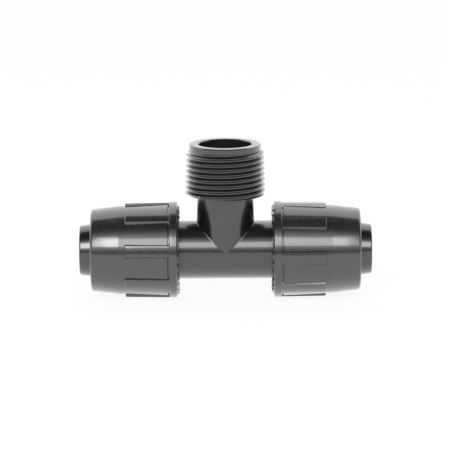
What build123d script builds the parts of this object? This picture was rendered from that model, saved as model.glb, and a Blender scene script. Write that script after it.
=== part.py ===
"""Locking tee for drip tube: two barbed spigots with compression lock nuts on the run, and a
male pipe thread on the branch.

The run lies along X, the branch rises along +Z, and the origin is where their axes cross.
Each side is built pointing along +X. The left side is the same build turned half a turn
about Z, so every screw thread stays right-hand. Millimetres throughout.
"""

import os
from math import atan, cos, degrees, radians, sin, sqrt, tan

from build123d import *

# ---------------------------------------------------------------- driving dimensions
# Run
overall_length = 98.0        # nose to nose
run_radius = 9.8
run_bore_radius = 7.0

# Tube that the run takes: 20 mm soft polyethylene drip tube
tube_radius = 10.0

# Branch, with a three-quarter inch taper thread: 14 threads per inch, taper 1 in 16
branch_height = 36.15        # run axis to the top face
branch_bore_radius = 8.95
neck_radius = 9.6            # just under the thread
neck_root_radius = 9.78      # at the run axis
neck_bore_radius = 7.25
neck_fillet = 0.5
pipe_thread_pitch = 1.814
pipe_thread_depth = 1.162
pipe_thread_radius = 13.42   # crest at the shoulder
pipe_thread_taper = 1 / 32   # loss of radius per millimetre of height
pipe_thread_crest = 0.24     # width of the crest
pipe_thread_flank = 27.5     # degrees from square
pipe_shoulder = 19.0         # height of the thread's lower face
lead_in_height = 1.95        # the plain lead-in above the thread
lead_in_radius = 12.05
pipe_thread_phase = 18.843   # height of a crest on the +X side
top_edge = 0.3               # chamfer of the branch's top edges
neck_split = 11.0            # height where the run's stub ends and the branch begins

# Hub, the threaded cup at each end of the run
hub_start = 17.2
hub_wall = 1.85              # around the socket, under the thread
hub_thread_pitch = 3.0
hub_thread_depth = 0.9
hub_crest_width = 0.7
hub_flank = 25.0             # degrees from square
socket_floor = 20.0          # the tube stops here
seal_seat_start = 27.0       # where the 45 degree seat opens the socket

# Barbed spigot, inside the tube
spigot_radius = 8.7
small_barb_height = 0.4
small_barb_length = 2.6
small_barb_places = (32.2, 36.8)
main_barb_height = 0.7
main_barb_length = 7.5       # from the barb's back to the nose
nose_drop = 0.33             # radius lost from the spigot to the nose
nose_round = 0.5

# Lock nut
nut_start = 16.2             # inner face of the flange
nut_end = 45.2               # outer face
nut_wall = 2.25              # over the thread's groove
flange_height = 0.8          # over the nut's own radius
flange_width = 2.6
groove_width = 0.5
groove_depth = 0.5
waist_drop = 0.55            # radius lost from the groove to the waist
nut_waist_start = 33.7
nut_taper_start = 35.6
rim_drop = 1.55              # radius lost from the groove to the rim
rim_round = 1.0
rib_count = 8
rib_width = 3.9
rib_height = 0.5             # over the nut's own radius, at the flange
rib_end_height = 0.3         # the same at the waist
rib_chamfer = 0.5
mouth_clearance = 0.4        # around the tube, in the nut's mouth
mouth_chamfer = 0.6
crown_count = 30
crown_height = 0.7
crown_inset = 0.25           # of the teeth's inner ends from the nut's thread
crown_outset = 1.2           # of their outer ends from the flange's edge

# Seal and grip parts
seal_section = 1.2           # radius of the O-ring's cord
seal_squeeze = 0.1           # how far its bore is under the tube's surface
bush_length = 3.5
ring_length = 8.2
ring_slot = 2.0
ring_kerf = 0.9
ring_kerf_count = 6
ring_tooth_count = 5
ring_tooth_height = 0.25
cone_slope = 0.2273          # radius lost per millimetre along the nut's cone

# Rest turn of each nut: how far a rib stands above the horizontal at the front, in degrees
right_nut_turn = 0.0
left_nut_turn = 9.5

# ---------------------------------------------------------------- clearances
tube_clearance = 0.25        # around the tube, in the socket and the rings
thread_clearance = 0.25      # between the hub's thread and the nut's, square to the faces
bore_clearance = 0.3         # between the nut's bore and what lies in it
seat_gap = 0.02              # between the O-ring and its seat
rest_gap = 0.2               # along X, between the seal, the bush and the grip ring
cone_clearance = 0.22        # between the grip ring and the nut's cone
embed = 0.3                  # how far a ridge or rib is sunk into what carries it
seam_turn = 20.0             # degrees round a screw thread where its surfaces join

# ---------------------------------------------------------------- values that follow
half_length = overall_length / 2
socket_radius = tube_radius + tube_clearance
hub_root_radius = socket_radius + hub_wall
hub_thread_radius = hub_root_radius + hub_thread_depth
small_barb_radius = spigot_radius + small_barb_height
main_barb_radius = spigot_radius + main_barb_height
main_barb_place = half_length - main_barb_length
nose_radius = spigot_radius - nose_drop
pipe_lead_in = branch_height - lead_in_height
hub_edge_radius = hub_root_radius - 0.15
hub_end = seal_seat_start + hub_edge_radius - socket_radius
hub_ridge_start = hub_start - 2 * hub_thread_pitch
hub_ridge_end = hub_end + 2 * hub_thread_pitch
seal_ring_radius = tube_radius - seal_squeeze + seal_section
seal_place = (
    seal_seat_start + seal_ring_radius - socket_radius + sqrt(2) * (seal_section + seat_gap)
)
bush_start = seal_place + seal_section + rest_gap
ring_start = bush_start + bush_length + rest_gap
ring_end = ring_start + ring_length
nut_crest_radius = hub_root_radius + thread_clearance
nut_groove_radius = hub_thread_radius + thread_clearance
nut_bore_radius = nut_groove_radius + 0.05
nut_thread_end = hub_end + bore_clearance
sleeve_radius = nut_groove_radius + embed
nut_radius = nut_groove_radius + nut_wall
flange_radius = nut_radius + flange_height
groove_radius = nut_radius - groove_depth
nut_waist_radius = nut_radius - waist_drop
nut_rim_radius = nut_radius - rim_drop
rib_radius = nut_radius + rib_height
rib_end_radius = nut_radius + rib_end_height
mouth_radius = tube_radius + mouth_clearance
crown_inner_radius = nut_crest_radius + crown_inset
crown_outer_radius = flange_radius - crown_outset
bush_radius = nut_bore_radius - bore_clearance
cone_start = ring_start - bore_clearance
cone_start_radius = nut_bore_radius
cone_end = ring_end + bore_clearance
groove_start = nut_start + flange_width
groove_end = groove_start + groove_width


# ---------------------------------------------------------------- helpers
def outline(points):
    """A flat face in the XZ plane from (along, out) pairs."""
    return Face(Wire.make_polygon([Vector(a, 0, b) for a, b in points], close=True))


def turned(points):
    """A solid of revolution about X, from (x, radius) pairs."""
    return Solid.revolve(outline(points), 360, Axis.X)


def turned_upright(points):
    """A solid of revolution about Z, from (radius, z) pairs."""
    return Solid.revolve(outline(points), 360, Axis.Z)


def ridge(radius, half_crest, flank, depth, pitch, start, height, cone=0.0):
    """A right-hand helical ridge about Z, with a crest at height start on the +X side. It
    starts seam_turn further round, with its crest at radius there, and it reaches depth
    inwards, wider by the flank's angle on each face."""
    start += pitch * seam_turn / 360
    path = Edge.make_helix(pitch, height, radius, (0, 0, start), (0, 0, 1), angle=cone)
    half_root = half_crest + depth * tan(radians(flank))
    section = outline([
        (radius - depth, start - half_root),
        (radius - depth, start + half_root),
        (radius, start + half_crest),
        (radius, start - half_crest),
    ])
    return Solid.sweep(section, path, is_frenet=True).rotate(Axis.Z, seam_turn)


def laid_along_x(shape):
    """Turns a shape built about Z so that its +Z points along +X."""
    return shape.rotate(Axis.Y, 90)


def around(shape, count, first=0.0):
    """Copies of a shape spaced evenly about X."""
    return [shape.rotate(Axis.X, first + 360 * i / count) for i in range(count)]


def to_left(shape):
    """The same shape on the left side, with its handedness kept."""
    return shape.rotate(Axis.Z, 180)


# ---------------------------------------------------------------- tee body
def hub_ridge(clearance=0.0):
    """The hub's thread, or with a clearance the groove that it runs in. It starts and ends
    well outside the hub, and is cut to length with what carries it."""
    flank = radians(hub_flank)
    return laid_along_x(ridge(
        hub_thread_radius + clearance,
        hub_crest_width / 2 + clearance / cos(flank) - clearance * tan(flank),
        hub_flank,
        hub_thread_radius - hub_root_radius + clearance + embed,
        hub_thread_pitch,
        hub_ridge_start,
        hub_ridge_end - hub_ridge_start,
    ))


def threaded_hub():
    """The hub, solid, with its thread sloped away at both faces."""
    low = hub_ridge_start - hub_thread_pitch
    high = hub_ridge_end + hub_thread_pitch
    outside = hub_thread_radius + 1
    hub = turned([
        (low, 0), (low, hub_root_radius), (high, hub_root_radius), (high, 0),
    ]) + hub_ridge()
    back = turned([
        (low - 1, 0),
        (hub_start, 0),
        (hub_start, hub_root_radius),
        (hub_start + outside - hub_root_radius, outside),
        (low - 1, outside),
    ])
    front = turned([
        (high + 1, 0),
        (hub_end, 0),
        (hub_end, hub_edge_radius),
        (hub_end - outside + hub_edge_radius, outside),
        (high + 1, outside),
    ])
    return hub - back - front


def socket():
    """The cup that the tube enters, opening into the seal's seat."""
    return turned([
        (socket_floor, 0),
        (socket_floor, socket_radius),
        (seal_seat_start, socket_radius),
        (hub_end, hub_edge_radius),
        (hub_end + 1, hub_edge_radius),
        (hub_end + 1, 0),
    ])


def barb(place, radius, length):
    """Outline points of one barb: a square back and a long nose."""
    return [(place, spigot_radius), (place, radius), (place + length, spigot_radius)]


def spigot():
    """The barbed spigot, solid, from inside the hub's web to the nose."""
    bend = nose_round * (1 - sqrt(0.5))
    points = [(hub_start + embed, 0), (hub_start + embed, spigot_radius)]
    for place in small_barb_places:
        points += barb(place, small_barb_radius, small_barb_length)
    points += [
        (main_barb_place, spigot_radius),
        (main_barb_place, main_barb_radius),
        (half_length - nose_round, nose_radius),
        (half_length - bend, nose_radius - bend),
        (half_length, nose_radius - nose_round),
        (half_length, 0),
    ]
    return turned(points)


def side_end():
    """One end of the body, solid: hub, cup and spigot."""
    return threaded_hub() - socket() + spigot()


def pipe_thread():
    """The taper thread's ridge, longer than it ends up at both ends."""
    start = pipe_thread_phase - pipe_thread_pitch
    return ridge(
        pipe_thread_radius + (pipe_shoulder - start) * pipe_thread_taper,
        pipe_thread_crest / 2,
        pipe_thread_flank,
        pipe_thread_depth + embed,
        pipe_thread_pitch,
        start,
        branch_height - start,
        -degrees(atan(pipe_thread_taper)),
    )


def pipe_radius(height, depth=0.0):
    """The thread's crest radius at a height, or that of a cone some depth under it."""
    return pipe_thread_radius - (height - pipe_shoulder) * pipe_thread_taper - depth


def threaded_branch():
    """The neck and the threaded end above it, solid. The ridge is fused to one long cone, then
    cut square at the shoulder and sloped into the lead-in."""
    over = 2 * pipe_thread_pitch
    low = pipe_shoulder - over
    high = branch_height + over
    outside = pipe_thread_radius + 2
    edge = pipe_thread_crest * 2
    slope_start = pipe_lead_in - (pipe_radius(pipe_lead_in) - lead_in_radius)
    threaded = turned_upright([
        (0, low),
        (pipe_radius(low, pipe_thread_depth), low),
        (pipe_radius(high, pipe_thread_depth), high),
        (0, high),
    ]) + pipe_thread()
    above = turned_upright([
        (0, pipe_lead_in),
        (lead_in_radius, pipe_lead_in),
        (outside, pipe_lead_in - (outside - lead_in_radius)),
        (outside, high + over),
        (0, high + over),
    ])
    below = turned_upright([
        (0, low - over),
        (0, pipe_shoulder),
        (pipe_thread_radius - edge, pipe_shoulder),
        (outside, pipe_shoulder + outside - pipe_thread_radius + edge),
        (outside, low - over),
    ])
    lead_in = turned_upright([
        (0, slope_start),
        (pipe_radius(slope_start, pipe_thread_depth + embed / 2), slope_start),
        (pipe_radius(pipe_lead_in, pipe_thread_depth + embed / 2), pipe_lead_in - embed),
        (lead_in_radius, pipe_lead_in),
        (lead_in_radius, branch_height - top_edge),
        (lead_in_radius - top_edge, branch_height),
        (0, branch_height),
    ])
    neck = turned_upright([
        (0, 0), (neck_root_radius, 0), (neck_radius, pipe_shoulder), (0, pipe_shoulder),
    ])
    return threaded - above - below + lead_in + neck


def tee_bores():
    """The run's bore and the branch's stepped bore."""
    run = Solid.make_cylinder(
        run_bore_radius, overall_length + 2, Plane((-half_length - 1, 0, 0), z_dir=(1, 0, 0)))
    step = branch_bore_radius - neck_bore_radius
    branch = turned_upright([
        (0, 0),
        (neck_bore_radius, 0),
        (neck_bore_radius, pipe_shoulder),
        (branch_bore_radius, pipe_shoulder + 2 * step),
        (branch_bore_radius, branch_height - top_edge),
        (branch_bore_radius + 2 * top_edge, branch_height + top_edge),
        (0, branch_height + top_edge),
    ])
    return run, branch


def crease_edges(body):
    """The edges where the neck meets the run tube."""
    def on_crease(edge):
        box = edge.bounding_box()
        reach = neck_root_radius + 0.5
        inside = box.max.X < reach and box.min.X > -reach and box.max.Z < run_radius + 0.5
        middle = edge @ 0.5
        return inside and box.min.Z > -0.1 and Vector(0, middle.Y, middle.Z).length > run_radius - 0.1
    return [e for e in body.edges() if on_crease(e)]


def tee_body():
    """The moulded body, as the two solids that meet face to face in the neck: the run with its
    hubs and barbed spigots, and the threaded branch."""
    reach = hub_start + embed
    run = turned([(-reach, 0), (-reach, run_radius), (reach, run_radius), (reach, 0)])
    end = side_end()
    body = run + end + to_left(end) + threaded_branch()
    for bore in tee_bores():
        body = body - bore
    body = body.fillet(neck_fillet, crease_edges(body))
    middle = Solid.make_box(
        2 * hub_start - 2, 2 * branch_height, branch_height,
        Plane((1 - hub_start, -branch_height, neck_split)))
    return body - middle, body & middle


# ---------------------------------------------------------------- lock nut
def nut_blank():
    """The nut's outside, solid, with its flange, groove, waist and rounded rim."""
    bend = rim_round * (1 - sqrt(0.5))
    return turned([
        (nut_start, 0),
        (nut_start, flange_radius - embed),
        (nut_start + embed, flange_radius),
        (groove_start, flange_radius),
        (groove_start, groove_radius),
        (groove_end, groove_radius),
        (groove_end, nut_radius),
        (nut_waist_start, nut_waist_radius),
        (nut_taper_start, nut_waist_radius),
        (nut_end - rim_round, nut_rim_radius),
        (nut_end - bend, nut_rim_radius - bend),
        (nut_end, nut_rim_radius - rim_round),
        (nut_end, 0),
    ])


def grip_rib():
    """One finger rib, on the +Z side, from the flange to the waist."""
    sleeve = turned([
        (groove_start - embed, groove_radius - embed),
        (groove_start - embed, rib_radius),
        (nut_waist_start - rib_chamfer, rib_end_radius),
        (nut_waist_start, rib_end_radius - rib_chamfer),
        (nut_waist_start, groove_radius - 3 * embed),
    ])
    slab = Solid.make_box(
        overall_length, rib_width, rib_radius + 1, Plane((0, -rib_width / 2, 0)))
    return sleeve & slab


def crown_tooth():
    """One saw tooth on the flange's inner face, on the +Z side."""
    width = crown_outer_radius * radians(360 / crown_count)
    profile = Face(Wire.make_polygon([
        Vector(nut_start + embed, -width / 2, 0),
        Vector(nut_start, -width / 2, 0),
        Vector(nut_start - crown_height, width / 4, 0),
        Vector(nut_start, width / 4 + crown_height / 4, 0),
        Vector(nut_start + embed, width / 4 + crown_height / 4, 0),
    ], close=True))
    blade = Solid.extrude(profile, Vector(0, 0, crown_outer_radius + 1))
    ring = turned([
        (nut_start + embed, crown_inner_radius),
        (nut_start - crown_height, crown_inner_radius),
        (nut_start - crown_height, crown_outer_radius - crown_height),
        (nut_start, crown_outer_radius),
        (nut_start + embed, crown_outer_radius),
    ])
    return blade & ring


def nut_hollow():
    """What is bored out of the nut. The thread's zone is bored wide, for its own sleeve."""
    return turned([
        (nut_start - 1, 0),
        (nut_start - 1, sleeve_radius),
        (nut_thread_end, sleeve_radius),
        (nut_thread_end, nut_bore_radius),
        (cone_start, cone_start_radius),
        (cone_end, cone_start_radius - (cone_end - cone_start) * cone_slope),
        (cone_end, mouth_radius),
        (nut_end - mouth_chamfer, mouth_radius),
        (nut_end, mouth_radius + mouth_chamfer),
        (nut_end + 1, mouth_radius + mouth_chamfer),
        (nut_end + 1, 0),
    ])


def nut_thread():
    """The sleeve of wall that holds the nut's thread, cut to the nut's length."""
    low = hub_ridge_start - hub_thread_pitch
    high = hub_ridge_end + hub_thread_pitch
    outer = sleeve_radius + embed
    sleeve = turned([
        (low, nut_crest_radius), (low, outer), (high, outer), (high, nut_crest_radius),
    ]) - hub_ridge(thread_clearance)
    lead = nut_groove_radius - nut_crest_radius
    back = turned([
        (low - 1, 0),
        (nut_start, 0),
        (nut_start, nut_crest_radius + lead),
        (nut_start, outer + 1),
        (low - 1, outer + 1),
    ])
    front = turned([
        (high + 1, 0),
        (nut_thread_end - lead, 0),
        (nut_thread_end - lead, nut_crest_radius),
        (nut_thread_end, nut_bore_radius),
        (nut_thread_end, outer + 1),
        (high + 1, outer + 1),
    ])
    return sleeve - back - front


def lock_nut(turn):
    """One lock nut with its first rib turned above the horizontal on the -Y side."""
    nut = nut_blank()
    nut = nut.fuse(*around(grip_rib(), rib_count, 90 - turn))
    nut = nut.fuse(*around(crown_tooth(), crown_count, 90 - turn))
    return nut - nut_hollow() + nut_thread()


# ---------------------------------------------------------------- seal and grip parts
def o_ring():
    """The seal between the hub's seat and the tube."""
    return Solid.make_torus(
        seal_ring_radius, seal_section, Plane((seal_place, 0, 0), z_dir=(1, 0, 0)))


def pressing_bush():
    """The stiff ring that carries the nut's push to the seal."""
    bevel = 0.4
    bush_end = bush_start + bush_length
    return turned([
        (bush_start, socket_radius),
        (bush_start, bush_radius - bevel),
        (bush_start + bevel, bush_radius),
        (bush_end - bevel, bush_radius),
        (bush_end, bush_radius - bevel),
        (bush_end, socket_radius),
    ])


def grip_ring():
    """The split cone that the nut closes on the tube, with saw teeth in its bore."""
    slant = sqrt(1 + cone_slope ** 2)
    start_radius = (
        cone_start_radius - (ring_start - cone_start) * cone_slope - cone_clearance * slant)
    end_radius = start_radius - ring_length * cone_slope
    pitch = ring_length / ring_tooth_count
    points = [(ring_end, socket_radius), (ring_end, end_radius), (ring_start, start_radius)]
    for i in range(ring_tooth_count):
        near = ring_start + i * pitch
        points += [(near, socket_radius), (near + pitch, socket_radius - ring_tooth_height)]
    ring = turned(points)
    deep = start_radius + 1
    split = Solid.make_box(
        ring_length + 2, ring_slot, deep, Plane((ring_start - 1, -ring_slot / 2, 0)))
    kerf = Solid.make_box(
        ring_length, ring_kerf, deep,
        Plane((ring_start + ring_length / 3, -ring_kerf / 2, 0)))
    for cut in around(kerf, ring_kerf_count)[1:]:
        ring = ring - cut
    return ring - split


# ---------------------------------------------------------------- write the pieces
def main():
    run, branch = tee_body()
    pieces = {"tee_run": run, "tee_branch": branch}
    for side, place, turn in (
        ("right", lambda shape: shape, right_nut_turn),
        ("left", to_left, 180 - left_nut_turn),
    ):
        pieces[f"{side}_lock_nut"] = place(lock_nut(turn))
        pieces[f"{side}_grip_ring"] = place(grip_ring())
        pieces[f"{side}_pressing_bush"] = place(pressing_bush())
        pieces[f"{side}_o_ring"] = place(o_ring())
    os.makedirs("parts", exist_ok=True)
    for name, shape in pieces.items():
        export_step(shape, f"parts/{name}.step")


main()
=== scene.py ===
# %% [markdown]
# # A locking tee for drip tube
# The fitting is moulded in black polypropylene: a run tube with a barbed spigot at each end, a
# branch with a male pipe thread, and a ribbed lock nut on each spigot. The CAD frame already
# holds every piece at its true place, so this lesson is about skin: smooth turned surfaces,
# rounded moulded edges, a semi-gloss plastic and a studio that draws it.

# %% Load the frame
from math import atan2, cos, pi, radians, sin, tan

import bmesh
import bpy
import numpy as np
from mathutils import Matrix, Vector


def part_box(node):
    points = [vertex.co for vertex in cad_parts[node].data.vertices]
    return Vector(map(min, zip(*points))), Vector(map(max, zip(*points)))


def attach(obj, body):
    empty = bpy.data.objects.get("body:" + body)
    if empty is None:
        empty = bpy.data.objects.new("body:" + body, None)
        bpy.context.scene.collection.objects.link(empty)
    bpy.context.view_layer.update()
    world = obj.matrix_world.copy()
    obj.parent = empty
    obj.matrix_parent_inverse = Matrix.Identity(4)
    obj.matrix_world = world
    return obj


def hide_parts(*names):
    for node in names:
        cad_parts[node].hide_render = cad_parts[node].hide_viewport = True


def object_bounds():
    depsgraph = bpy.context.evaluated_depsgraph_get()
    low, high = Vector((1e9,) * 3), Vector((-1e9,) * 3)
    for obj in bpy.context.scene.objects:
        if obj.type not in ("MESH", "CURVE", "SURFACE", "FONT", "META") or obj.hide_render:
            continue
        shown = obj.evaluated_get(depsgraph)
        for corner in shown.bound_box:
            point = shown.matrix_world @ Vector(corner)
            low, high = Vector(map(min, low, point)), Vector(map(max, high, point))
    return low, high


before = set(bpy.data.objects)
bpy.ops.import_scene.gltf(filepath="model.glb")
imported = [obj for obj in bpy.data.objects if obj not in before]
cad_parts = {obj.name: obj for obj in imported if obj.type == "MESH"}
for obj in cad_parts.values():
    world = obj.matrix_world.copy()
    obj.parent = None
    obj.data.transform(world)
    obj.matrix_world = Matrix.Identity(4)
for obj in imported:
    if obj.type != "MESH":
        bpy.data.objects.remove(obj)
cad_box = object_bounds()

MM = 0.001
print("nodes:", sorted(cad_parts))

# %% [markdown]
# ## Colours and nodes
# A colour is easiest to compare as an sRGB hex code, but the shader wants linear light, so one
# function converts. Another adds a shader node: its settings are keywords, and its inputs are
# values or other nodes' outputs. Two helpers are enough for every material below.


# %% Colour and node helpers
def linear(code):
    """An sRGB hex colour as linear RGBA."""
    parts = [int(code[i:i + 2], 16) / 255 for i in (1, 3, 5)]
    return [p / 12.92 if p <= 0.04045 else ((p + 0.055) / 1.055) ** 2.4 for p in parts] + [1.0]


def add(tree, kind, inputs=None, **settings):
    """Adds a node to a tree, with its settings, and fills or links its inputs."""
    made = tree.nodes.new(kind)
    for name, value in settings.items():
        setattr(made, name, value)
    for key, value in (inputs or {}).items():
        if isinstance(value, bpy.types.NodeSocket):
            tree.links.new(value, made.inputs[key])
        else:
            made.inputs[key].default_value = value
    return made


def new_material(name):
    """An empty material, its tree and its output node."""
    made = bpy.data.materials.new(name)
    made.use_nodes = True
    made.node_tree.nodes.clear()
    return made, made.node_tree, made.node_tree.nodes.new("ShaderNodeOutputMaterial")


# %% [markdown]
# ## Moulded plastic
# Black polypropylene comes out of a polished mould with a glassy skin over a dull core. Under a
# lamp it shows three things: a slow waviness where the wall has shrunk, a very fine orange
# peel, and handling marks that scatter a little light. A Noise texture could paint all three
# as colour, but they are shape and polish, so they go to the bump and the roughness, and the
# colour only varies by a shade. Sizes are in millimetres and turned into texture scales.

# %% Sizes of the surface marks
SINK = 9.0                           # width of the slow waviness, millimetres
PEEL = 0.5                           # of the orange peel
HAZE = 3.2                           # of the handling marks


def per_metre(size_mm):
    """The texture scale that makes one feature about this many millimetres wide."""
    return 1 / (size_mm * MM)


print("texture scales:", [round(per_metre(size)) for size in (SINK, PEEL, HAZE)])


# %% Polypropylene
def moulded_polypropylene(name, dark, light, polish, skin):
    """Injection-moulded polypropylene: two close shades, a roughness range and a clear skin."""
    made, tree, out = new_material(name)
    place = add(tree, "ShaderNodeTexCoord").outputs["Object"]
    sink = add(tree, "ShaderNodeTexNoise", {
        "Vector": place, "Scale": per_metre(SINK), "Detail": 1.0, "Roughness": 0.4})
    peel = add(tree, "ShaderNodeTexNoise", {
        "Vector": place, "Scale": per_metre(PEEL), "Detail": 2.0, "Roughness": 0.55})
    haze = add(tree, "ShaderNodeTexNoise", {
        "Vector": place, "Scale": per_metre(HAZE), "Detail": 5.0, "Roughness": 0.62})
    # Mix holds one set of sockets for each data type: its colours are inputs 6 and 7, output 2
    shade = add(tree, "ShaderNodeMix", {
        "Factor": haze.outputs["Fac"], 6: linear(dark), 7: linear(light)}, data_type="RGBA")
    rub = add(tree, "ShaderNodeMapRange", {
        "Value": haze.outputs["Fac"], "From Min": 0.3, "From Max": 0.75,
        "To Min": polish[0], "To Max": polish[1]})
    wave = add(tree, "ShaderNodeBump", {
        "Strength": 0.35, "Distance": 0.06 * MM, "Height": sink.outputs["Fac"]})
    grain = add(tree, "ShaderNodeBump", {
        "Strength": 0.18, "Distance": 0.012 * MM, "Height": peel.outputs["Fac"],
        "Normal": wave.outputs["Normal"]})
    shader = add(tree, "ShaderNodeBsdfPrincipled", {
        "Base Color": shade.outputs[2], "Roughness": rub.outputs["Result"],
        "IOR": 1.49, "Specular IOR Level": 0.5,
        "Coat Weight": skin, "Coat Roughness": 0.1, "Coat IOR": 1.55,
        "Normal": grain.outputs["Normal"]})
    tree.links.new(shader.outputs["BSDF"], out.inputs["Surface"])
    return made


# %% The three plastics
body_plastic = moulded_polypropylene(
    "black polypropylene, polished mould", "#0c0c0d", "#121213", (0.26, 0.36), 0.75)
nut_plastic = moulded_polypropylene(
    "black polypropylene, nut mould", "#1b1b1c", "#212122", (0.24, 0.34), 0.8)
bush_plastic = moulded_polypropylene(
    "black polypropylene, plain mould", "#222223", "#29292a", (0.4, 0.5), 0.0)
print("plastics:", body_plastic.name, "|", nut_plastic.name, "|", bush_plastic.name)

# %% [markdown]
# ## Acetal and rubber
# The grip ring has to be springy and hard enough to bite the tube, so it is natural acetal: a
# milky white plastic that lets a little light in, which subsurface scattering gives. The seal
# is nitrile rubber, as dull as the mould that pressed it, with a fine bloom on its surface.


# %% Acetal and rubber
def natural_acetal():
    """Moulded acetal: milky, waxy, faintly translucent."""
    made, tree, out = new_material("natural acetal, moulded")
    place = add(tree, "ShaderNodeTexCoord").outputs["Object"]
    cloud = add(tree, "ShaderNodeTexNoise", {
        "Vector": place, "Scale": per_metre(2.5), "Detail": 3.0})
    shade = add(tree, "ShaderNodeMix", {
        "Factor": cloud.outputs["Fac"], 6: linear("#d9d6cc"), 7: linear("#e6e3da")},
        data_type="RGBA")
    grain = add(tree, "ShaderNodeBump", {
        "Strength": 0.15, "Distance": 0.01 * MM, "Height": cloud.outputs["Fac"]})
    shader = add(tree, "ShaderNodeBsdfPrincipled", {
        "Base Color": shade.outputs[2], "Roughness": 0.42, "IOR": 1.48,
        "Subsurface Weight": 0.25, "Subsurface Scale": 1.2 * MM,
        "Normal": grain.outputs["Normal"]})
    tree.links.new(shader.outputs["BSDF"], out.inputs["Surface"])
    return made


def nitrile_rubber():
    """Pressed nitrile rubber: nearly black, dull, with a faint bloom."""
    made, tree, out = new_material("nitrile rubber, pressed")
    place = add(tree, "ShaderNodeTexCoord").outputs["Object"]
    bloom = add(tree, "ShaderNodeTexNoise", {
        "Vector": place, "Scale": per_metre(0.8), "Detail": 4.0})
    shade = add(tree, "ShaderNodeMix", {
        "Factor": bloom.outputs["Fac"], 6: linear("#131313"), 7: linear("#212121")},
        data_type="RGBA")
    grain = add(tree, "ShaderNodeBump", {
        "Strength": 0.3, "Distance": 0.02 * MM, "Height": bloom.outputs["Fac"]})
    shader = add(tree, "ShaderNodeBsdfPrincipled", {
        "Base Color": shade.outputs[2], "Roughness": 0.62, "IOR": 1.52,
        "Normal": grain.outputs["Normal"]})
    tree.links.new(shader.outputs["BSDF"], out.inputs["Surface"])
    return made


ring_plastic = natural_acetal()
seal_rubber = nitrile_rubber()
print("others:", ring_plastic.name, "|", seal_rubber.name)

# %% [markdown]
# ## True normals for turned surfaces
# Almost every surface of a fitting is turned about the run or about the branch. A CAD mesh holds
# such a surface as long thin triangles, and averaging their directions makes a gloss skin
# look dented. Finer triangles would help, but the exact direction is known: on a turned surface
# it leans along the axis as its triangle does, and points straight out from the axis at each
# corner. So each triangle is tested against both axes, and gets those directions if its
# corners lie on one turned surface. The rest, such as the blend under the neck, is smoothed by
# angle as usual.

# %% Fit triangles to turned surfaces
TURNED_LEAN = 0.2                    # how far a facet may lean round the axis
TURNED_MISFIT = 0.02 * MM            # how far its corners may lie off the turned surface
SHARP = radians(32)                  # past this angle an edge stays sharp
print("a facet fits within", round(TURNED_MISFIT / MM, 3), "mm")


def turned_fit(corners, facing, axis):
    """For each triangle: how far its corners lie off a surface turned about the axis, and what
    their exact normals would be."""
    along = corners @ axis
    out = corners - along[..., None] * axis
    radius = np.linalg.norm(out, axis=-1)
    out = out / np.maximum(radius, 1e-9)[..., None]
    lean_along = facing @ axis
    flat = facing - lean_along[:, None] * axis
    lean_out = np.linalg.norm(flat, axis=-1)
    middle = out.mean(1)
    middle /= np.maximum(np.linalg.norm(middle, axis=-1), 1e-9)[:, None]
    sign = np.where((flat * middle).sum(-1) < 0, -1.0, 1.0)
    lean_out = lean_out * sign
    round_about = np.abs((flat * np.cross(axis, middle)).sum(-1))
    height = along * lean_along[:, None] + radius * lean_out[:, None]
    misfit = height.max(1) - height.min(1)
    misfit[round_about > TURNED_LEAN] = np.inf
    normals = out * lean_out[:, None, None] + axis * lean_along[:, None, None]
    return misfit, normals / np.maximum(np.linalg.norm(normals, axis=-1), 1e-9)[..., None]


# %% Give a mesh its true normals
def true_normals(mesh, axes):
    """Gives a triangle mesh the exact normals of the surfaces turned about these axes, and
    returns how many triangles lie on one, out of how many."""
    mesh.shade_smooth()
    mesh.set_sharp_from_angle(angle=SHARP)
    count = len(mesh.polygons)
    normals = np.empty(count * 9, np.float32)
    mesh.corner_normals.foreach_get("vector", normals)
    normals = normals.reshape(count, 3, 3).astype(float)
    points = np.empty(len(mesh.vertices) * 3, np.float32)
    mesh.vertices.foreach_get("co", points)
    index = np.empty(count * 3, np.int32)
    mesh.loops.foreach_get("vertex_index", index)
    corners = points.reshape(-1, 3)[index].reshape(count, 3, 3).astype(float)
    facing = np.cross(corners[:, 1] - corners[:, 0], corners[:, 2] - corners[:, 0])
    facing /= np.maximum(np.linalg.norm(facing, axis=-1), 1e-18)[:, None]
    best = np.full(count, TURNED_MISFIT)
    for axis in axes:
        misfit, exact = turned_fit(corners, facing, np.array(axis, float))
        better = misfit < best
        normals[better] = exact[better]
        best[better] = misfit[better]
    mesh.normals_split_custom_set(normals.reshape(-1, 3).tolist())
    return int((best < TURNED_MISFIT).sum()), count


# %% Dress a CAD node
ALONG_RUN, UP_BRANCH = (1, 0, 0), (0, 0, 1)
print("axes:", ALONG_RUN, UP_BRANCH)


def dressed(node, name, material, axes=(ALONG_RUN, UP_BRANCH)):
    """A copy of a CAD node with welded corners, true normals and a material, in its place."""
    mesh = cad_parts[node].data.copy()
    work = bmesh.new()
    work.from_mesh(mesh)
    bmesh.ops.remove_doubles(work, verts=work.verts, dist=1e-7)
    bmesh.ops.triangulate(work, faces=work.faces)
    work.to_mesh(mesh)
    work.free()
    mesh.materials.clear()
    mesh.materials.append(material)
    turned, count = true_normals(mesh, axes)
    piece = bpy.data.objects.new(name, mesh)
    bpy.context.scene.collection.objects.link(piece)
    print(f"{name}: {count} triangles, {turned} on turned surfaces")
    return piece


# %% [markdown]
# ## The moulded body
# The real body is one moulding. The frame holds it as two nodes, the run and the branch, which
# meet face to face across the neck. Their surfaces are already right, so a copy of each is
# dressed rather than modelled again. Both have exact normals and one plastic in Object
# coordinates, so shading and marks carry on across the joint. A Bevel node in the plastic would
# soften the body's edges, but it would take the joint for an edge too and draw it as a line.

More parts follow.
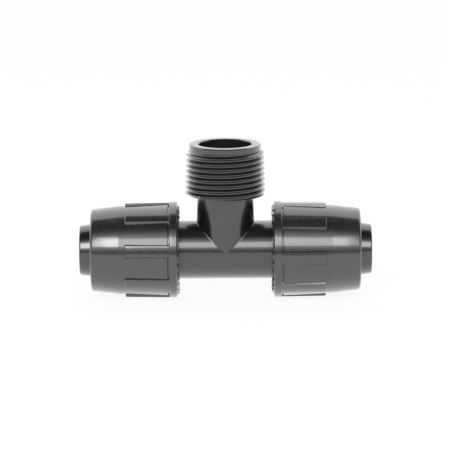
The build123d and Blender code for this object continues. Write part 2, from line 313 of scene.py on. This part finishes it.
# %% Body
for node in ("tee_run", "tee_branch"):
    skin = dressed(node, f"{node}_skin", body_plastic)
    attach(skin, "body")
    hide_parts(node)

# %% [markdown]
# ## The inner parts
# The seal, the bush and the grip ring sit inside each nut and come into view only when it is
# unscrewed. Their CAD shapes are right, so they are dressed in the same way.

# %% Inner parts
for side in ("left", "right"):
    for part, body, material, slot in (
        ("o_ring", "body", seal_rubber, "seal_rubber"),
        ("pressing_bush", f"{side}_follower", bush_plastic, "bush_plastic"),
        ("grip_ring", f"{side}_follower", ring_plastic, "ring_plastic"),
    ):
        piece = dressed(f"{side}_{part}", f"{side}_{part}_skin", material, (ALONG_RUN,))
        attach(piece, body)
        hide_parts(f"{side}_{part}")

# %% [markdown]
# ## The lock nut's shell
# A moulded nut has no sharp edge: every corner is rounded by the mould maker's cutter. A bevel
# on the finished CAD mesh would trip over its thin triangles, so the shell is turned again
# here from its outline, with each corner drawn as an arc. The outline is in millimetres along
# the run and out from it, and its ends are read from the frame.

# %% Shell sizes
near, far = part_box("right_lock_nut")
NUT = {
    "crown": near.x / MM,            # tips of the crown teeth
    "end": far.x / MM,
    "flange": far.y / MM,            # radius
    "crown_height": 0.7,
    "flange_width": 2.6,
    "groove": 0.5,
    "groove_radius": 15.0,
    "radius": 15.5,
    "waist_radius": 14.95,
    "waist": 33.7,                   # where the ribs end
    "taper": 35.6,
    "rim_radius": 13.95,
    "rim_round": 1.0,
    "mouth": 10.4,
    "bore": 13.3,
    "bore_end": 34.47,
    "cone_end_radius": 11.23,
    "cone_end": 43.27,
}
NUT["face"] = NUT["crown"] + NUT["crown_height"]
NUT["groove_start"] = NUT["face"] + NUT["flange_width"]
EDGE = 0.22                          # usual rounding of a moulded edge, millimetres
REACH = 0.48                         # share of a line that a rounding may take
SEGMENTS = 160                       # round the run
print({k: round(v, 2) for k, v in NUT.items()})

# %% [markdown]
# ## Rounding and turning an outline
# A drawing gives a rounded corner as two straight lines and the arc that touches both, and so
# does this helper: the arc starts the same reach back on either line, and stays short of the
# middle of the shorter one. Spinning a few such corners costs far fewer faces than a Bevel
# modifier on the whole nut, and every rounding is a number that can be read. A second helper
# turns the outline about the run, and a third sets all faces outwards.


# %% Round the corners of an outline
def rounded(corners, steps=4):
    """A closed outline with each corner (along, out, rounding) drawn as an arc."""
    outline = []
    for i, (a, b, size) in enumerate(corners):
        here = Vector((a, b))
        back = Vector(corners[i - 1][:2]) - here
        on = Vector(corners[(i + 1) % len(corners)][:2]) - here
        if not size:
            outline.append(here)
            continue
        half = back.angle(on) / 2
        reach = min(size / tan(half), REACH * back.length, REACH * on.length)
        size = reach * tan(half)
        centre = here + (back.normalized() + on.normalized()).normalized() * (size / sin(half))
        start = here + back.normalized() * reach - centre
        end = here + on.normalized() * reach - centre
        turn = atan2(start.x * end.y - start.y * end.x, start.dot(end))
        for k in range(steps + 1):
            outline.append(centre + Matrix.Rotation(turn * k / steps, 2) @ start)
    return outline


square = rounded([(0, 0, 1), (4, 0, 1), (4, 4, 1), (0, 4, 1)])
print("a square with rounded corners has", len(square), "points")


# %% Turn an outline about the run
def revolve(name, outline, segments):
    """A closed mesh turned about the run from an outline in millimetres."""
    count = len(outline)
    points, faces = [], []
    for s in range(segments):
        angle = 2 * pi * s / segments
        for p in outline:
            points.append((p.x * MM, p.y * MM * cos(angle), p.y * MM * sin(angle)))
    for s in range(segments):
        for i in range(count):
            j, t = (i + 1) % count, (s + 1) % segments
            faces.append((s * count + i, s * count + j, t * count + j, t * count + i))
    mesh = bpy.data.meshes.new(name)
    mesh.from_pydata(points, [], faces)
    return outward(mesh)


def outward(mesh):
    """Merges a mesh's doubles and turns its faces outwards."""
    work = bmesh.new()
    work.from_mesh(mesh)
    bmesh.ops.remove_doubles(work, verts=work.verts, dist=1e-7)
    bmesh.ops.recalc_face_normals(work, faces=work.faces)
    work.to_mesh(mesh)
    work.free()
    return mesh


print("turned in steps of", 360 / SEGMENTS, "degrees")


# %% The shell
def nut_shell():
    """The nut's shell, from its outline: flange, groove, body, waist, rim, mouth and bore."""
    n = NUT
    fall = (n["waist_radius"] - n["rim_radius"]) / (n["end"] - n["rim_round"] - n["taper"])
    rim = n["rim_radius"] - fall * n["rim_round"]
    # each corner: along the run, out from it, and its rounding
    corners = [
        (n["face"], n["flange"], 0.35),
        (n["groove_start"], n["flange"], 0.3),
        (n["groove_start"], n["groove_radius"], 0.1),
        (n["groove_start"] + n["groove"], n["groove_radius"], 0.1),
        (n["groove_start"] + n["groove"], n["radius"], 0.15),
        (n["waist"], n["waist_radius"], 0.0),
        (n["taper"], n["waist_radius"], 1.5),
        (n["end"], rim, n["rim_round"]),
        (n["end"], n["mouth"], 0.5),
        (n["cone_end"], n["mouth"], EDGE),
        (n["cone_end"], n["cone_end_radius"], EDGE),
        (n["bore_end"], n["bore"], 0.0),
        (n["face"], n["bore"], 0.3),
    ]
    return revolve("nut shell", rounded(corners), SEGMENTS)


shell = nut_shell()
print("shell:", len(shell.polygons), "faces")

# %% [markdown]
# ## One rib and one tooth
# The nut has eight finger ribs and a crown of saw teeth. Each kind is one small mesh, modelled
# where it stands above the run, and copied round later. The rib is lofted along the nut: its
# cross-section has rounded shoulders, and its last stations shrink to round off the end.

# %% Rib and tooth sizes
RIB = {
    "count": 8,
    "width": 3.9,
    "radius": 16.0,                  # of its top, at the flange
    "end_radius": 15.8,              # of its top, at the waist
    "foot": 14.5,
    "round": 0.12,                   # of its shoulders
    "draft": 0.45,                   # how far each side leans out at its foot
    "sunk": 0.2,                     # how far it starts inside the flange
    "end_round": 0.5,
    "end_steps": 6,
}
TOOTH = {
    "count": 30,
    "inner": 13.5,
    "outer": 15.1,
    "sunk": 0.3,                     # how deep its root lies in the flange
    "back": -0.5,                    # shares of its width, round the crown
    "rise": 0.2,
    "tip": 0.23,
    "fall": 0.26,
    "front": 0.31,
    "blunt": 0.04,                   # how far its tip's two shoulders lie back
}
print("ribs every", 360 / RIB["count"], "degrees, teeth every", 360 / TOOTH["count"])


# %% One rib
def rib_section(width, top, foot, round_off, steps=4):
    """Points (across, up) of a rib's cross-section, foot to foot over its rounded top."""
    half = width / 2
    points = [(-half - RIB["draft"], foot)]
    for side in (-1, 1):
        for k in range(steps + 1):
            angle = (k if side < 0 else steps - k) / steps * pi / 2
            points.append((
                side * (half - round_off + round_off * cos(angle)),
                top - round_off + round_off * sin(angle)))
    points.append((half + RIB["draft"], foot))
    # the top follows the nut's own curve
    return [(a, b if b == foot else b - (top - (top * top - a * a) ** 0.5)) for a, b in points]


def rib_mesh():
    """One rib on the +Z side, from inside the flange to its rounded end at the waist."""
    start, end = NUT["groove_start"] - RIB["sunk"], NUT["waist"]
    size = RIB["end_round"]
    stations = [(start, 0.0)]
    for k in range(RIB["end_steps"] + 1):
        angle = k / RIB["end_steps"] * pi / 2
        stations.append((end - size + size * sin(angle), size * (1 - cos(angle))))
    points, faces = [], []
    for x, shrink in stations:
        share = (x - start) / (end - start)
        top = RIB["radius"] + (RIB["end_radius"] - RIB["radius"]) * share - shrink
        section = rib_section(RIB["width"] - shrink, top, RIB["foot"], RIB["round"])
        points += [(x * MM, a * MM, b * MM) for a, b in section]
    n = len(points) // len(stations)
    for s in range(len(stations) - 1):
        for i in range(n):
            j = (i + 1) % n
            faces.append((s * n + i, s * n + j, (s + 1) * n + j, (s + 1) * n + i))
    faces.append(tuple(range(n)))
    faces.append(tuple(range(len(points) - n, len(points))))
    mesh = bpy.data.meshes.new("rib")
    mesh.from_pydata(points, [], faces)
    return outward(mesh)


rib = rib_mesh()
print("rib:", len(rib.polygons), "faces")


# %% One tooth
def tooth_mesh():
    """One saw tooth on the +Z side of the flange's inner face, chamfered at its outer end."""
    t = TOOTH
    width = t["outer"] * radians(360 / t["count"])
    face, tip = NUT["face"], NUT["crown"]
    root, shoulder = face + t["sunk"], tip + t["blunt"]
    profile = [
        (root, t["back"] * width), (face, t["back"] * width), (shoulder, t["rise"] * width),
        (tip, t["tip"] * width), (shoulder, t["fall"] * width), (face, t["front"] * width),
        (root, t["front"] * width),
    ]
    points = []
    for x, y in profile:
        points.append((x * MM, y * t["inner"] / t["outer"] * MM, t["inner"] * MM))
    for x, y in profile:
        chamfer = max(0.0, face - x)
        points.append((x * MM, y * MM, (t["outer"] - chamfer) * MM))
    n = len(profile)
    faces = [(i, (i + 1) % n, n + (i + 1) % n, n + i) for i in range(n)]
    faces += [tuple(range(n)), tuple(range(n, 2 * n))]
    mesh = bpy.data.meshes.new("tooth")
    mesh.from_pydata(points, [], faces)
    return outward(mesh)


tooth = tooth_mesh()
print("tooth:", len(tooth.polygons), "faces")

# %% [markdown]
# ## The nut's inner thread
# The nut runs on the hub's 3 mm thread. Its ridge is a trapezoid carried along a helix: a loop
# of sections, each a little further on and a little further round. It starts half a pitch
# from the hub's own ridge, so that the two mesh, and each end shrinks into the bore.

# %% Inner thread
THREAD = {
    "pitch": 3.0,
    "root": 13.4,
    "crest": 12.35,
    "root_width": 2.06,
    "crest_width": 1.14,
    "start": 0.7,                    # of its middle line, in from the nut's face
    "end": 27.9,                     # of its middle line, along the run
    "sunk": 0.2,                     # how deep it sits in the nut's wall
    "steps": 72,                     # sections in a turn
    "run_out": 1 / 3,                # turns over which each end shrinks
    "least": 0.02,                   # share of its height that is left at the very end
}
HUB_CREST = 11.2                     # where a crest of the hub's ridge crosses the underside


def thread_mesh():
    """The nut's helical ridge, right-hand about the run."""
    t = THREAD
    first, last = NUT["face"] + t["start"], t["end"]
    buried = t["root"] + t["sunk"]
    turns = (last - first) / t["pitch"]
    count = int(turns * t["steps"])
    run_out = t["steps"] * t["run_out"]
    points, faces = [], []
    for s in range(count + 1):
        x = first + (last - first) * s / count
        angle = 2 * pi * (x - HUB_CREST - t["pitch"] / 2) / t["pitch"]
        share = min(1.0, s / run_out + t["least"], (count - s) / run_out + t["least"])
        crest = t["root"] + (t["crest"] - t["root"]) * share
        for along, out in (
            (-t["root_width"] / 2, buried), (t["root_width"] / 2, buried),
            (t["root_width"] / 2, t["root"]), (t["crest_width"] / 2, crest),
            (-t["crest_width"] / 2, crest), (-t["root_width"] / 2, t["root"]),
        ):
            points.append((
                (x + along) * MM, out * MM * sin(angle), -out * MM * cos(angle)))
    n = len(points) // (count + 1)
    for s in range(count):
        for i in range(n):
            j = (i + 1) % n
            faces.append((s * n + i, s * n + j, (s + 1) * n + j, (s + 1) * n + i))
    faces.append(tuple(range(n)))
    faces.append(tuple(range(len(points) - n, len(points))))
    mesh = bpy.data.meshes.new("inner thread")
    mesh.from_pydata(points, [], faces)
    return outward(mesh)


thread = thread_mesh()
print("inner thread:", len(thread.polygons), "faces")

# %% [markdown]
# ## Ribs and teeth round the nut
# What repeats goes to Geometry Nodes. The tree puts a row of points on the run's axis, stands a
# copy of the rib on each and turns copy number i by i shares of a full turn, then does the
# same for the teeth. The counts and the first rib's angle are inputs of the tree, so both
# nuts use one tree and differ by one number.


# %% Copies round the run's axis
def ring_of(tree, inputs, thing, count, turn):
    """Nodes that copy an object round the run's axis."""
    points = add(tree, "GeometryNodePoints", {"Count": inputs[count]})
    number = add(tree, "GeometryNodeInputIndex").outputs["Index"]
    share = add(tree, "ShaderNodeMath", {0: 2 * pi, 1: inputs[count]}, operation="DIVIDE")
    angle = add(tree, "ShaderNodeMath", {
        0: number, 1: share.outputs[0], 2: inputs[turn]}, operation="MULTIPLY_ADD")
    euler = add(tree, "ShaderNodeCombineXYZ", {"X": angle.outputs[0]})
    turned = add(tree, "FunctionNodeEulerToRotation", {0: euler.outputs[0]})
    source = add(tree, "GeometryNodeObjectInfo", {"Object": inputs[thing]})
    copies = add(tree, "GeometryNodeInstanceOnPoints", {
        "Points": points.outputs["Points"], "Instance": source.outputs["Geometry"],
        "Rotation": turned.outputs[0]})
    return copies.outputs["Instances"]


# %% The nut's tree
def nut_tree():
    """The tree that adds ribs, crown teeth and inner thread to a nut's shell."""
    tree = bpy.data.node_groups.new("nut features", "GeometryNodeTree")
    sockets = {}
    for name, kind, way in (
        ("Shell", "NodeSocketGeometry", "INPUT"),
        ("Rib", "NodeSocketObject", "INPUT"),
        ("Rib Count", "NodeSocketInt", "INPUT"),
        ("First Rib", "NodeSocketFloat", "INPUT"),
        ("Tooth", "NodeSocketObject", "INPUT"),
        ("Tooth Count", "NodeSocketInt", "INPUT"),
        ("Thread", "NodeSocketObject", "INPUT"),
        ("Plastic", "NodeSocketMaterial", "INPUT"),
        ("Nut", "NodeSocketGeometry", "OUTPUT"),
    ):
        made = tree.interface.new_socket(name, in_out=way, socket_type=kind)
        sockets[name] = made.identifier
    inputs = add(tree, "NodeGroupInput").outputs
    join = add(tree, "GeometryNodeJoinGeometry")
    thread_in = add(tree, "GeometryNodeObjectInfo", {"Object": inputs["Thread"]})
    for source in (
        inputs["Shell"],
        ring_of(tree, inputs, "Rib", "Rib Count", "First Rib"),
        ring_of(tree, inputs, "Tooth", "Tooth Count", "First Rib"),
        thread_in.outputs["Geometry"],
    ):
        tree.links.new(source, join.inputs["Geometry"])
    real = add(tree, "GeometryNodeRealizeInstances", {"Geometry": join.outputs["Geometry"]})
    painted = add(tree, "GeometryNodeSetMaterial", {
        "Geometry": real.outputs["Geometry"], "Material": inputs["Plastic"]})
    out = tree.nodes.new("NodeGroupOutput")
    tree.links.new(painted.outputs["Geometry"], out.inputs["Nut"])
    return tree, sockets


nut_features, nut_sockets = nut_tree()
print("tree sockets:", ", ".join(nut_sockets))

# %% [markdown]
# ## Both nuts
# Each nut is the shell with the tree's modifier, turned into a plain mesh. The left nut is the
# right one turned half a turn about the branch, which keeps the thread right-hand. Its first
# rib is set 9.5 degrees above the horizontal at the front, where the right one's is level.

# %% Build a nut
LEFT_LIFT = 9.5                      # degrees that the left nut's front rib stands above level
NUT_TURN = {"right": 0.0, "left": 180 - LEFT_LIFT}
print("first ribs:", NUT_TURN)


def holder(mesh):
    """A temporary object that holds a mesh for the tree to copy."""
    made = bpy.data.objects.new(mesh.name, mesh)
    bpy.context.scene.collection.objects.link(made)
    return made


def build_nut(side, helpers):
    """One nut as a plain mesh in its place."""
    base = holder(shell.copy())
    modifier = base.modifiers.new("features", "NODES")
    modifier.node_group = nut_features
    for name, value in (
        ("Rib", helpers["rib"]), ("Rib Count", RIB["count"]),
        ("First Rib", radians(90 - NUT_TURN[side])),
        ("Tooth", helpers["tooth"]), ("Tooth Count", TOOTH["count"]),
        ("Thread", helpers["thread"]), ("Plastic", nut_plastic),
    ):
        modifier[nut_sockets[name]] = value
    base.update_tag()
    graph = bpy.context.evaluated_depsgraph_get()
    mesh = bpy.data.meshes.new_from_object(base.evaluated_get(graph))
    bpy.data.objects.remove(base)
    if side == "left":
        mesh.transform(Matrix.Rotation(pi, 4, "Z"))
    mesh.shade_smooth()
    mesh.set_sharp_from_angle(angle=SHARP)
    piece = bpy.data.objects.new(f"{side}_ribbed_nut", mesh)
    bpy.context.scene.collection.objects.link(piece)
    print(f"{piece.name}: {len(mesh.polygons)} faces")
    return piece


# %% Both nuts in place
helpers = {"rib": holder(rib), "tooth": holder(tooth), "thread": holder(thread)}
for side in ("right", "left"):
    nut = build_nut(side, helpers)
    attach(nut, f"{side}_nut")
    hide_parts(f"{side}_lock_nut")
for helper in helpers.values():
    bpy.data.objects.remove(helper)

# %% [markdown]
# ## The studio
# A black gloss object is drawn by what it mirrors. A horizontal cylinder seen from a little
# above shows, from its top line down: the bright wall behind, a dark ceiling, the soft boxes in
# front and their spill, a thin dark gap at the horizon, and the white table. The table is the
# only one of these that is modelled, because the fitting stands on it. A plane that only the
# lamps lit would go grey far from them, so most of its white is a glow, seen by the camera and
# a little brighter in a gloss skin, while the rest of it still takes the fitting's shadow.

# %% Table
low, high = cad_box
TABLE = 3.0                          # half its width, metres
TABLE_MIRRORED = 1.6                 # strength of its glow in a gloss skin
TABLE_SEEN = 1.0                     # and straight to the camera
TABLE_GLOW = 0.9                     # share of glow, where it is seen or mirrored
table_mesh = bpy.data.meshes.new("table")
table_mesh.from_pydata(
    [(x * TABLE, y * TABLE, low.z) for x, y in ((-1, -1), (1, -1), (1, 1), (-1, 1))],
    [], [(0, 1, 2, 3)])
table = bpy.data.objects.new("table", table_mesh)
bpy.context.scene.collection.objects.link(table)


def table_paint():
    """A white table: lit by the lamps, and white where the camera or a gloss skin sees it."""
    made, tree, out = new_material("white table top")
    path = add(tree, "ShaderNodeLightPath").outputs
    seen = add(tree, "ShaderNodeMath", {
        0: path["Is Camera Ray"], 1: path["Is Glossy Ray"]}, operation="MAXIMUM")
    seen = add(tree, "ShaderNodeMath", {
        0: seen.outputs[0], 1: path["Is Transmission Ray"]}, operation="MAXIMUM")
    lit = add(tree, "ShaderNodeBsdfDiffuse", {"Color": linear("#f2f2f2")})
    level = add(tree, "ShaderNodeMix", {
        0: path["Is Camera Ray"], 2: TABLE_MIRRORED, 3: TABLE_SEEN}, data_type="FLOAT")
    glow = add(tree, "ShaderNodeEmission", {
        "Color": linear("#ffffff"), "Strength": level.outputs[0]})
    share = add(tree, "ShaderNodeMath", {
        0: seen.outputs[0], 1: TABLE_GLOW}, operation="MULTIPLY")
    mixed = add(tree, "ShaderNodeMixShader", {
        0: share.outputs[0], 1: lit.outputs[0], 2: glow.outputs[0]})
    tree.links.new(mixed.outputs[0], out.inputs["Surface"])
    return made


table_mesh.materials.append(table_paint())
print("table at", round(low.z / MM, 2), "mm")

# %% [markdown]
# ## The wall, the ceiling and the spill
# These only have to be mirrored, never seen, so they need no walls of their own: a world whose
# brightness depends on direction does it, and has no seam. One angle runs over the top of the
# set, 0 degrees at the front horizon, 90 overhead and 180 at the back horizon. The spill of
# the soft boxes swells and dies away in front, the ceiling is nearly black, and the wall
# starts behind the top with a crisp edge and fades towards its foot. The camera sees white.

# %% World
SPILL_RISE = (5, 22)                 # degrees over which the spill swells
SPILL_FALL = (40, 62)                # and dies away
WALL_FOOT = 170                      # degrees at which the wall has faded
WALL_EDGE = 1.5                      # half the width of its top edge, degrees


def studio_world(wall_top, wall, ceiling, spill):
    """White to the camera; to everything else a spill in front, a ceiling, and behind it a wall
    from wall_top degrees, whose strength goes from the first of wall to the second."""
    world = bpy.data.worlds.new("studio")
    bpy.context.scene.world = world
    world.use_nodes = True
    tree = world.node_tree
    tree.nodes.clear()
    path = add(tree, "ShaderNodeLightPath").outputs
    toward = add(tree, "ShaderNodeTexCoord").outputs["Generated"]
    parts = add(tree, "ShaderNodeSeparateXYZ", {"Vector": toward}).outputs
    # the angle from the front horizon, over the top, to the back one
    front = add(tree, "ShaderNodeMath", {0: parts["Y"], 1: -1.0}, operation="MULTIPLY")
    angle = add(tree, "ShaderNodeMath", {0: parts["Z"], 1: front.outputs[0]}, operation="ARCTAN2")
    fade = add(tree, "ShaderNodeMapRange", {
        "Value": angle.outputs[0], "From Min": radians(wall_top), "From Max": radians(WALL_FOOT),
        "To Min": wall[0], "To Max": wall[1]})
    edge = add(tree, "ShaderNodeMapRange", {
        "Value": angle.outputs[0],
        "From Min": radians(wall_top - WALL_EDGE), "From Max": radians(wall_top + WALL_EDGE)})
    back = add(tree, "ShaderNodeMix", {
        0: edge.outputs["Result"], 2: ceiling, 3: fade.outputs["Result"]}, data_type="FLOAT")
    rise = add(tree, "ShaderNodeMapRange", {
        "Value": angle.outputs[0],
        "From Min": radians(SPILL_RISE[0]), "From Max": radians(SPILL_RISE[1]),
        "To Min": 0.0, "To Max": spill})
    fall = add(tree, "ShaderNodeMapRange", {
        "Value": angle.outputs[0],
        "From Min": radians(SPILL_FALL[0]), "From Max": radians(SPILL_FALL[1]),
        "To Min": 1.0, "To Max": 0.0})
    all_round = add(tree, "ShaderNodeMath", {
        0: rise.outputs[0], 1: fall.outputs[0], 2: back.outputs[0]}, operation="MULTIPLY_ADD")
    strength = add(tree, "ShaderNodeMix", {
        0: path["Is Camera Ray"], 2: all_round.outputs[0], 3: 1.0}, data_type="FLOAT")
    glow = add(tree, "ShaderNodeBackground", {
        "Color": linear("#ffffff"), "Strength": strength.outputs[0]})
    out = tree.nodes.new("ShaderNodeOutputWorld")
    tree.links.new(glow.outputs[0], out.inputs["Surface"])
    print(f"world: wall from {wall_top} degrees, {wall[0]} to {wall[1]}, ceiling {ceiling}")


studio_world(wall_top=106, wall=(2.0, 1.3), ceiling=0.02, spill=1.6)

# %% [markdown]
# ## Soft boxes
# A wide soft box in front and above draws the long highlight on the run and the nuts. A narrower
# one on each side adds to it, more on the left, where the nut's highlight is stronger. They are
# area lamps and not glowing planes, since a lamp is sampled cleanly and no view can run into it.


# %% Soft boxes
def soft_box(name, azimuth, elevation, distance, width, height, power):
    """A rectangular lamp that faces the origin from a direction, azimuth 0 in front."""
    data = bpy.data.lights.new(name, "AREA")
    data.shape, data.size, data.size_y, data.energy = "RECTANGLE", width, height, power
    lamp = bpy.data.objects.new(name, data)
    bpy.context.scene.collection.objects.link(lamp)
    a, e = radians(azimuth), radians(elevation)
    back = Vector((sin(a) * cos(e), -cos(a) * cos(e), sin(e)))
    lamp.location = back * distance
    lamp.rotation_mode = "QUATERNION"
    lamp.rotation_quaternion = (-back).to_track_quat("-Z", "Y")
    print(f"{name}: {width} x {height} m, {power} W, {azimuth} degrees round, {elevation} up")


BOX_DISTANCE = 1.2                   # metres from the origin
soft_box("front soft box", 0, 30, BOX_DISTANCE, width=1.0, height=0.44, power=6.0)
soft_box("left soft box", -22, 31, BOX_DISTANCE, width=0.36, height=0.5, power=4.0)
soft_box("right soft box", 22, 31, BOX_DISTANCE, width=0.36, height=0.5, power=1.5)

# %% [markdown]
# ## The camera
# A long lens a metre away keeps the run's ends nearly parallel, as in a catalogue picture. The
# camera looks a little down, is turned by a third of a degree, and aims above the run so that
# the fitting sits just under the middle of the frame.

# %% Camera
ELEVATION = radians(11.2)
ROLL = radians(0.33)
DISTANCE = 1.1
FIELD = 151.4 * MM                   # width of the frame at the fitting
AIM_UP, AIM_SIDE = 8.23 * MM, -0.17 * MM

camera_data = bpy.data.cameras.new("camera")
camera = bpy.data.objects.new("camera", camera_data)
bpy.context.scene.collection.objects.link(camera)
bpy.context.scene.camera = camera
back = Vector((0, -cos(ELEVATION), sin(ELEVATION)))
upright = (-back).to_track_quat("-Z", "Y").to_matrix()
aim = upright @ Vector((AIM_SIDE, AIM_UP, 0))
camera.location = aim + back * DISTANCE
camera.rotation_mode = "QUATERNION"
camera.rotation_quaternion = (upright @ Matrix.Rotation(-ROLL, 3, "Z")).to_quaternion()
camera_data.lens = camera_data.sensor_width * DISTANCE / FIELD
camera_data.clip_start, camera_data.clip_end = 0.05, 20
print("lens", round(camera_data.lens, 1), "mm")

# %% [markdown]
# ## Finish
# Plastic renders as written only with the Standard view transform. The last line prints the CAD
# box.

# %% Finish
bpy.context.scene.view_settings.view_transform = "Standard"
print("CAD box", [round(v / MM, 2) for corner in cad_box for v in corner])
